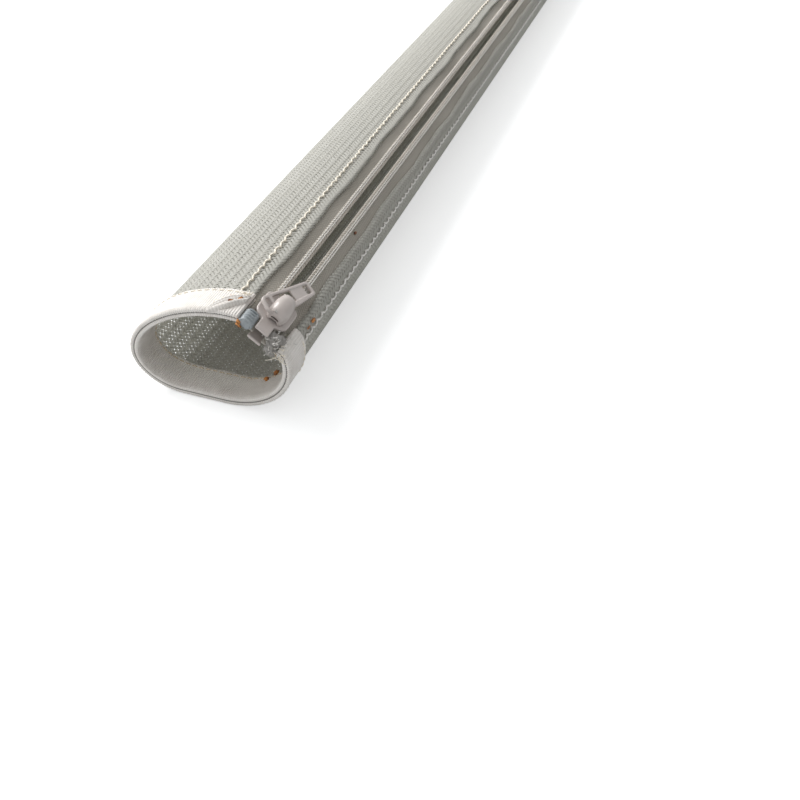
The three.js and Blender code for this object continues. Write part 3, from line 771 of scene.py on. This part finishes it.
# Pull: a cast tab; loop, crossbar under the dome, long window, sunk panel, end slot and end bar
pull = {
    "yaw": math.radians(20),
    "dip": math.radians(8),
    "pivot": (-2.2, 1.6, 2.1),      # across, along, above the plate
    "thickness": 1.25,
    "edge": 0.32,
    "rail": 1.1,
    "half": 3.35,
    "tipHalf": 2.55,
    "drift": -0.8,                  # the tip lies this far to the left
    "loop": -4.7,
    "window": 0.75,
    "panel": 10.2,
    "slot": 16.3,
    "bar": 18.9,
    "tip": 20.3,
    "panelThickness": 0.7,
    "taper": 9,                     # from here the tab narrows
    "voxel": 0.12,
    "rounding": 4,
}


def pullPlace(points):
    # from the pull's own frame, crossbar along x, to the sleeve
    x, y, z = np.asarray(points, float).T
    cosDip, sinDip = math.cos(pull["dip"]), math.sin(pull["dip"])
    y, z = y * cosDip + z * sinDip, z * cosDip - y * sinDip
    cosYaw, sinYaw = math.cos(pull["yaw"]), math.sin(pull["yaw"])
    x, y = x * cosYaw + y * sinYaw, y * cosYaw - x * sinYaw
    across, along, above = pull["pivot"]
    return onZip(x + across, y + slider["middle"] + along, z + slider["plateTop"] + above)


def pullSide(y, inset):
    # left and right edge of the tab at y
    share = ease(y, pull["taper"], pull["tip"])
    half = pull["half"] + (pull["tipHalf"] - pull["half"]) * share - inset
    return pull["drift"] * share - half, pull["drift"] * share + half


def plate(name, outlines, thickness, edge):
    # a flat plate with holes and rounded edges, in the pull's own frame
    curve = bpy.data.curves.new(name, "CURVE")
    curve.dimensions, curve.fill_mode = "2D", "BOTH"
    curve.extrude, curve.offset = thickness / 2 - edge, -edge
    curve.bevel_depth, curve.bevel_resolution = edge, 3
    for outline in outlines:
        spline = curve.splines.new("POLY")
        spline.points.add(len(outline) - 1)
        spline.points.foreach_set("co", [c for x, y in outline for c in (x, y, 0, 1)])
        spline.use_cyclic_u = True
    shape = bpy.data.objects.new(name, curve)
    scene.collection.objects.link(shape)
    bpy.context.view_layer.update()
    solid = shape.evaluated_get(bpy.context.evaluated_depsgraph_get()).to_mesh()
    points = np.array([v.co for v in solid.vertices])
    faces = [list(p.vertices) for p in solid.polygons]
    loops = sum(len(f) for f in faces)
    bpy.data.objects.remove(shape)
    bySize = {}
    for face in faces:
        bySize.setdefault(len(face), []).append(face)
    return pullPlace(points), [np.array(group) for group in bySize.values()], np.zeros((loops, 2))


def softCorner(points, radius, steps=5):
    # rounds the corners of a closed outline
    points = [np.array(p, float) for p in points]
    made = []
    for k, corner in enumerate(points):
        before, after = points[k - 1] - corner, points[(k + 1) % len(points)] - corner
        reach = min(radius, 0.45 * np.linalg.norm(before), 0.45 * np.linalg.norm(after))
        a = corner + before / np.linalg.norm(before) * reach
        b = corner + after / np.linalg.norm(after) * reach
        for t in np.linspace(0, 1, steps):
            made.append((1 - t) ** 2 * a + 2 * (1 - t) * t * corner + t * t * b)
    return made


def pullHole(low, high, inset):
    (leftLow, rightLow), (leftHigh, rightHigh) = pullSide(low, inset), pullSide(high, inset)
    return softCorner([(leftLow, low), (rightLow, low), (rightHigh, high), (leftHigh, high)], 0.5)


def pullParts():
    p = pull
    h, rail = p["half"], p["rail"]
    loop, tip, taper = p["loop"], p["tip"], p["taper"]
    (tipLeft, tipRight), (midLeft, midRight) = pullSide(tip, 0), pullSide(taper, 0)
    rim = softCorner([(-0.75 * h, loop + 0.9), (0.5 * h, loop), (h, loop + 2.4), (midRight, taper),
                      (tipRight, tip), (tipLeft, tip), (midLeft, taper), (-h, loop + 2.2)], 1.3)
    ring = softCorner([(-0.6 * h, loop + 0.9 + rail), (0.42 * h, loop + rail), (h - rail, loop + 2.6),
                       (h - rail, -p["window"]), (rail - h, -p["window"]), (rail - h, loop + 2.5)], 0.5)
    holes = [ring, pullHole(p["window"], p["bar"], rail)]
    left, right = pullSide(13, rail - 0.3)
    panel = softCorner([(left, p["panel"] - 0.3), (right + 0.3, p["panel"] - 0.3), (right, p["slot"] + 0.6),
                        (left, p["slot"])], 0.3)
    return [plate("pullRim", [rim] + holes, p["thickness"], p["edge"]),
            plate("pullPanel", [panel], p["panelThickness"], 0.1)]


tab = makePiece("pullTab", pullParts(), zincLook, "pull", ["pull_tab"])
roundedCasting(tab, pull["voxel"], pull["rounding"])
print("stage 8: slider, dome and pull")


# sewing: each stitch is a short arch of thread

sewing = {
    "edgePitch": 4.0,       # zigzag that holds the mesh edge on the tape
    "edgeIn": 4.6,          # its middle, from the mesh edge
    "edgeHalf": 0.5,
    "edgeThread": 0.7,
    "bindPitch": 2.6,
    "bindIn": 1.3,          # from the binding's edge
    "bindThread": 0.42,
}


def unevenness(count, reach=0.15):
    return np.array([dice.uniform(-reach, reach) for _ in range(count)])


def arches(starts, ends, outs, rise, thread, sink=0.25):
    t = np.linspace(0, 1, 7)[:, None]
    lift = (np.sin(math.pi * t) ** 0.6 * (rise + sink) - sink)
    paths = starts[:, None] * (1 - t) + ends[:, None] * t + outs[:, None] * lift
    return sweep(paths, outs[:, None], thread, thread * 0.85, sides=6)


def zigzag(side):
    s = sewing
    y = np.arange(bindings["depth"] - 0.6, sleeve["length"] - bindings["depth"] + 0.6, s["edgePitch"] / 2)
    y = y + unevenness(len(y), 0.12)
    swing = np.where(np.arange(len(y)) % 2, 1, -1) * s["edgeHalf"]
    u = s["edgeIn"] + swing + unevenness(len(y))
    u = u if side < 0 else girth - u
    place = onWall(u, mesh["level"] + 0.3, y)
    return arches(place[:-1], place[1:], wallOut(u[:-1]), 0.34, s["edgeThread"])


def bindingRow(rimAt, inward, face):
    s = sewing
    u = np.arange(1.0, girth - 1.0, s["bindPitch"])
    u = u + unevenness(len(u))
    deep = bindings["depth"] - s["bindIn"] + unevenness(len(u))
    out = face * (bindings["inside"] + bindings["flap"] - 0.02)
    starts = onWall(u[:-1] + 0.2, out, rimAt + inward * deep[:-1])
    ends = onWall(u[1:] - 0.2, out, rimAt + inward * deep[1:])
    return arches(starts, ends, face * wallOut(u[:-1]), 0.2, s["bindThread"])


makePiece("leftEdgeZigzag", [zigzag(-1)], creamThread, "sleeve")
makePiece("rightEdgeZigzag", [zigzag(1)], whiteThread, "sleeve")
for name, face, thread in (("bindingStitchesInside", -1, tanThread), ("bindingStitchesOutside", 1, creamThread)):
    rows = [bindingRow(0, 1, face), bindingRow(sleeve["length"], -1, face)]
    makePiece(name, rows, thread, "sleeve")
print("stage 9: sewing")


# cut ends at the front mouth: fused nylon, loose threads, singed beads

def lump(middle, size, seed, rough=0.25, level=4, squarish=2.6):
    # a melted lump: a ball pushed towards a block, with an uneven skin; size in mm along the zip's own axes
    made = bmesh.new()
    bmesh.ops.create_icosphere(made, subdivisions=level, radius=1)
    points = []
    for v in made.verts:
        d = v.co.normalized()
        reach = (abs(d.x) ** squarish + abs(d.y) ** squarish + abs(d.z) ** squarish) ** (-1 / squarish)
        swells = noise.noise(d * 2.3 + Vector((seed, 0, 0)))
        wrinkles = noise.noise(d * 6 + Vector((0, seed, 0)))
        skin = 1 + rough * swells + 0.4 * rough * wrinkles
        points.append([c * reach * skin * s / 2 for c, s in zip(d, size)])
    faces = np.array([[v.index for v in f.verts] for f in made.faces])
    made.free()
    points = np.array(points) + np.array(middle)
    return onZip(points[:, 0], points[:, 1], points[:, 2]), [faces], np.zeros((faces.size, 2))


def wisps(middle, spread, count, length, thickness, seed, towards=(0, -1, 0.2)):
    # loose thread ends, in the zip's own axes
    own = random.Random(seed)
    paths = []
    for _ in range(count):
        at = np.array([own.gauss(m, s) for m, s in zip(middle, spread)])
        aim = np.array(towards) + np.array([own.gauss(0, 0.55) for _ in range(3)])
        curl = np.array([own.gauss(0, 0.5) for _ in range(3)])
        reach = length * own.uniform(0.4, 1.2)
        path = [at + aim * reach * t + curl * reach * t * t for t in np.linspace(0, 1, 7)]
        paths.append(path)
    paths = np.array(paths)
    paths = onZip(paths[..., 0], paths[..., 1], paths[..., 2])
    taper = thickness * np.linspace(1, 0.45, 7)
    return sweep(paths, zipOut, taper[None], taper[None], sides=5)


def fusedRidges(middle, size, turns):
    # the coil's last turns, still showing in the fused end
    x, y, z = middle
    t = np.linspace(-1, 1, 13)
    paths = []
    for k in range(turns):
        along = y + size[1] * (k / (turns - 1) - 0.5) * 0.86
        above = z + size[2] * 0.5 * (1 - np.abs(t) ** 4)
        paths.append(np.stack([x + t * size[0] * 0.5, np.full(len(t), along), above], axis=-1))
    paths = np.array(paths)
    return sweep(onZip(paths[..., 0], paths[..., 1], paths[..., 2]), np.array([0, 1, 0]), 0.62, 0.6, sides=6)


leftEnd = {"middle": (-5.0, 2.1, 2.2), "size": (4.2, 5.4, 3.6)}
makePiece("fusedCoilEnd", [lump(leftEnd["middle"], leftEnd["size"], 3.1, 0.1, squarish=5),
                           fusedRidges(leftEnd["middle"], leftEnd["size"], 5)], fusedLook, "sleeve")
# The right tape's end, twisted up and fused: middle, size, seed of each lump
knot = [((4.8, 2.4, 1.7), (4.6, 4.0, 3.4), 8.4), ((6.7, 4.0, 1.2), (3.6, 4.4, 2.6), 2.2),
        ((5.6, 0.0, 0.4), (3.4, 3.2, 2.8), 5.7)]
makePiece("tapeKnot", [lump(middle, size, seed, 0.55) for middle, size, seed in knot], greyThreadCloth,
          "sleeve")
knotThreads = [wisps(knot[0][0], (1.7, 1.4, 1.0), 44, 1.3, 0.5, 5, (0.3, -0.2, 0.6)),
               wisps(knot[2][0], (1.0, 1.2, 0.8), 22, 1.1, 0.45, 9, (0, -0.5, 0.3)),
               wisps((7.6, 5.5, 0.8), (0.8, 1.8, 0.4), 22, 2.0, 0.34, 6, (0.6, 0.3, 0.4))]
makePiece("tapeKnotThreads", knotThreads, greyThread, "sleeve")


# The binding's left end: a rolled corner from the rim to the mesh edge, open and singed along its middle
leaf = {"from": (9.5, -0.3), "to": (-0.6, 9.6), "width": 4.8, "rise": 2.3, "level": 1.2}


def leafPoint(t, across, rise):
    (u0, y0), (u1, y1) = leaf["from"], leaf["to"]
    length = math.hypot(u1 - u0, y1 - y0)
    u = u0 + (u1 - u0) * t + across * (y1 - y0) / length
    y = y0 + (y1 - y0) * t - across * (u1 - u0) / length
    return onWall(u, leaf["level"] + rise, y)


def leafEnd():
    t = np.linspace(0, 1, 40)[:, None]
    turn = np.linspace(0, 2 * math.pi, 24, endpoint=False)[None, :]
    body = np.sin(math.pi * (0.04 + 0.92 * t)) ** 0.75
    rolled = 0.5 * leaf["width"] * body * (1 + 0.1 * np.sin(9 * t + 2 * turn))
    crease = 1 - 0.75 * np.exp(-((np.cos(turn) + 0.1) / 0.22) ** 2) * (np.sin(turn) > 0)
    points = leafPoint(t, rolled * np.cos(turn), leaf["rise"] * body * np.sin(turn) * crease)
    uv = np.stack([t * 12 + 0 * turn, 3 * turn + 0 * t], axis=-1)
    return grid(points, closedAcross=True, uv=uv)


def leafThreads(count, across, rise, length, thickness, seed):
    own = random.Random(seed)
    paths = []
    for _ in range(count):
        t = own.uniform(0.25, 1)
        steps = np.linspace(0, 1, 7)
        start, slope, curl = own.gauss(0, 0.35), own.uniform(-0.3, 1) * length, own.gauss(0, 0.4)
        side = across + start + slope * steps + curl * steps ** 2
        lift = rise + 0.7 * np.sin(math.pi * steps) * own.uniform(0.3, 1)
        paths.append(leafPoint(t + own.gauss(0, 0.06) * steps, side, lift))
    taper = thickness * np.linspace(1, 0.5, 7)
    return sweep(np.array(paths), zipOut, taper[None], taper[None], sides=5)


def toZip(point):
    # a point of the sleeve in the zip's own axes
    x = point[0] - sleeve["shift"] - sleeve["zipAcross"]
    z = point[2] - sleeve["lift"] - sleeve["zipUp"]
    tilt = sleeve["zipTilt"]
    across, above = x * math.cos(tilt) - z * math.sin(tilt), x * math.sin(tilt) + z * math.cos(tilt)
    return across, point[1] - sleeve["frontRim"], above


makePiece("bindingLeafEnd", [leafEnd()], webbingLook, "sleeve")
makePiece("bindingLeafThreads", [leafThreads(40, 1.2, 0.9, 1.3, 0.3, 4)], creamThread, "sleeve")
rightEnd = toZip(onWall(girth - 1.5, -0.6, 1.5))
makePiece("rightEndThreads", [wisps(rightEnd, (1.2, 1.4, 0.9), 50, 2.0, 0.34, 12, (0, -0.3, 0.4))],
          creamThread, "sleeve")

# Beads and burnt thread left by the hot knife: where, size along the zip's axes, seed
singed = [
    (toZip(leafPoint(0.55, 0.2, 0.9)), (1.6, 2.0, 0.8), 1.0),
    (toZip(leafPoint(0.75, 0.1, 0.9)), (1.3, 2.6, 0.8), 2.0),
    (toZip(leafPoint(0.6, 2.0, 1.0)), (0.9, 0.8, 0.7), 3.0),
    ((-6.9, -0.3, 1.5), (1.5, 1.0, 1.0), 4.0),
    ((-6.3, -0.9, 0.7), (2.0, 0.8, 0.8), 5.0),
    (toZip(onWall(101.5, -1.9, 12.2)), (1.3, 2.4, 1.6), 6.0),
    (toZip(onWall(98.5, -1.9, 9.6)), (1.5, 1.5, 1.5), 7.0),
    (toZip(onWall(125.5, -1.7, 0.8)), (1.8, 0.8, 0.7), 8.0),
    (toZip(onWall(girth - 2.8, 0.9, 21)), (1.0, 2.2, 0.7), 9.0),
    (toZip(onWall(girth - 2.9, 0.9, 17.2)), (0.6, 1.9, 0.5), 10.0),
    ((5.2, 70, 0.5), (0.9, 1.6, 0.6), 11.0),
]
makePiece("singedBeads", [lump(at, size, seed, 0.5, level=3, squarish=2.2) for at, size, seed in singed],
          singeLook, "sleeve")
print("stage 10: cut ends")


# camera, light and floor

camera = bpy.data.objects.new("camera", bpy.data.cameras.new("camera"))
camera.data.lens, camera.data.sensor_width = 37.35, 36
camera.location = (0.1213, -0.4187, 0.18025)
camera.rotation_euler = (math.radians(48.11), 0, math.radians(18.86))
scene.collection.objects.link(camera)
scene.camera = camera

# window light from the left, paler fill on the right
studio = {"key": 13, "keySize": 0.7, "fillLeft": 1.0, "fillRight": 0.3, "floorGlow": 0.55}

keyLight = bpy.data.objects.new("windowLight", bpy.data.lights.new("windowLight", "AREA"))
keyLight.data.energy, keyLight.data.size = studio["key"], studio["keySize"]
keyLight.location = (-0.75, 0.1, 0.85)
keyLight.rotation_euler = (Vector((0, -0.1, 0)) - keyLight.location).to_track_quat("-Z", "Y").to_euler()
scene.collection.objects.link(keyLight)

world = bpy.data.worlds.new("studio")
scene.world = world
world.use_nodes = True
sky = world.node_tree
ray = addNode(sky, "LightPath")
seen = addNode(sky, "Math", {"operation": "ADD"}, {},
               {0: ray.outputs["Is Camera Ray"], 1: ray.outputs["Is Glossy Ray"]})
seenThrough = addNode(sky, "Math", {"operation": "ADD", "use_clamp": True}, {},
                      {0: seen.outputs["Value"], 1: ray.outputs["Is Transmission Ray"]})
towards = addNode(sky, "SeparateXYZ", links={"Vector": addNode(sky, "TexCoord").outputs["Generated"]})
fill = addNode(sky, "MapRange",
               values={"From Min": -1.0, "To Min": studio["fillLeft"], "To Max": studio["fillRight"]},
               links={"Value": towards.outputs["X"]})
level = addNode(sky, "Mix", values={"B": 1.0},
                links={"Factor": seenThrough.outputs["Value"], "A": fill.outputs["Result"]})
sky.links.new(level.outputs["Result"], sky.nodes["Background"].inputs["Strength"])
sky.nodes["Background"].inputs["Color"].default_value = (1, 1, 1, 1)

floorMesh = bpy.data.meshes.new("floor")
floorCorners = [(-3, -2), (3, -2), (3, 4), (-3, 4)]
floorMesh.from_pydata([(x, y, -0.0003) for x, y in floorCorners], [], [(0, 1, 2, 3)])
floor = bpy.data.objects.new("floor", floorMesh)
scene.collection.objects.link(floor)
paper, paperTree, paperShader = newMaterial("paleFloor", {"Base Color": fromHex("#D9DBDC"), "Roughness": 0.9})
floorRay = addNode(paperTree, "LightPath")
glow = addNode(paperTree, "Math", {"operation": "MULTIPLY"}, {1: studio["floorGlow"]},
               {0: floorRay.outputs["Is Camera Ray"]})
paperShader.inputs["Emission Color"].default_value = (1, 1, 1, 1)
paperTree.links.new(glow.outputs["Value"], paperShader.inputs["Emission Strength"])
floorMesh.materials.append(paper)

scene.view_settings.view_transform = "Standard"
print("stage 11: camera, light and floor")
